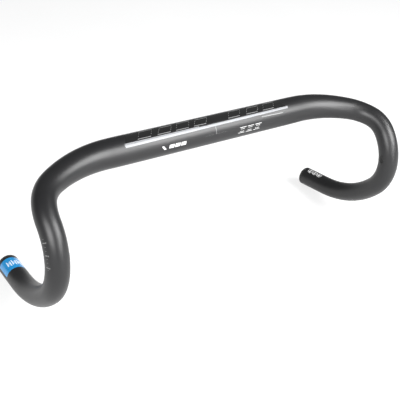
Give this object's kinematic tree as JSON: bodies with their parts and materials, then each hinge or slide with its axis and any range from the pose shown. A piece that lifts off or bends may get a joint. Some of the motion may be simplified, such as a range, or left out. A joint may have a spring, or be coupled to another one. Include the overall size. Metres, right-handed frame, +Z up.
{
  "type": "drop handlebar",
  "caption": "Drop handlebar: one bent tube with a straight clamp section and curved hooks, port plugs and screw-expanded end plugs.",
  "frame": {"origin": "centre of the stem clamp zone, on the tube's axis", "axes": "+X to the rider's left, -Y forward in the direction of travel, +Z up"},
  "size_m": [0.4682, 0.1453, 0.1741],
  "materials": {
    "tube": "satin black",
    "port_rubber": "matte black rubber",
    "stripe": "silver-grey print under lacquer",
    "gloss_print": "gloss black print on satin",
    "mark_print": "white print",
    "scale_print": "fine grey print",
    "blue_label": "glossy blue film",
    "cap_plastic": "moulded black nylon",
    "steel": "dark zinc",
    "sleeve_rubber": "matte",
    "wedge_metal": "plain turned"
  },
  "bodies": {
    "bar": {"bar_tube": "tube", "lever_port_plug_left": "port_rubber", "lever_port_plug_right": "port_rubber", "exit_port_plug_left": "port_rubber", "exit_port_plug_right": "port_rubber", "stripe_film_left": "stripe", "stripe_film_right": "stripe", "gloss_film_left": "gloss_print", "gloss_film_right": "gloss_print", "solid_mark_film": "mark_print", "open_mark_film": "mark_print", "end_mark_film": "mark_print", "end_label_film": "blue_label", "lever_scale_left": "scale_print", "lever_scale_right": "scale_print"},
    "plug_left": {"end_cap_left": "cap_plastic", "cap_washer_left": "steel", "expander_sleeve_left": "sleeve_rubber"},
    "screw_left": {"cap_screw_left": "steel"},
    "wedge_left": {"wedge_nut_left": "wedge_metal"},
    "plug_right": {"end_cap_right": "cap_plastic", "cap_washer_right": "steel", "expander_sleeve_right": "sleeve_rubber"},
    "screw_right": {"cap_screw_right": "steel"},
    "wedge_right": {"wedge_nut_right": "wedge_metal"}
  },
  "joints": [
    {"name": "plug_left_pull", "type": "slide", "parent": "bar", "child": "plug_left", "axis": [-0.0386, 0.9895, -0.1391], "range_m": [0, 0.04]},
    {"name": "screw_left_turn", "type": "hinge", "parent": "plug_left", "child": "screw_left", "pos_m": [0.21964, 0.04811, -0.14591], "axis": [-0.0386, 0.9895, -0.1391], "range_deg": [0, 1441]},
    {"name": "wedge_left_travel", "type": "slide", "parent": "plug_left", "child": "wedge_left", "axis": [0.0386, -0.9895, 0.1391], "range_m": [0, 0.0032]},
    {"name": "plug_right_pull", "type": "slide", "parent": "bar", "child": "plug_right", "axis": [0.0386, 0.9895, -0.1391], "range_m": [0, 0.04]},
    {"name": "screw_right_turn", "type": "hinge", "parent": "plug_right", "child": "screw_right", "pos_m": [-0.21964, 0.04811, -0.14591], "axis": [0.0386, 0.9895, -0.1391], "range_deg": [0, 1441]},
    {"name": "wedge_right_travel", "type": "slide", "parent": "plug_right", "child": "wedge_right", "axis": [-0.0386, -0.9895, 0.1391], "range_m": [0, 0.0032]}
  ],
  "couplings": [
    {"joint": "screw_left_turn", "follows": "wedge_left_travel", "rad_per_m": 7854},
    {"joint": "screw_right_turn", "follows": "wedge_right_travel", "rad_per_m": 7854}
  ]
}
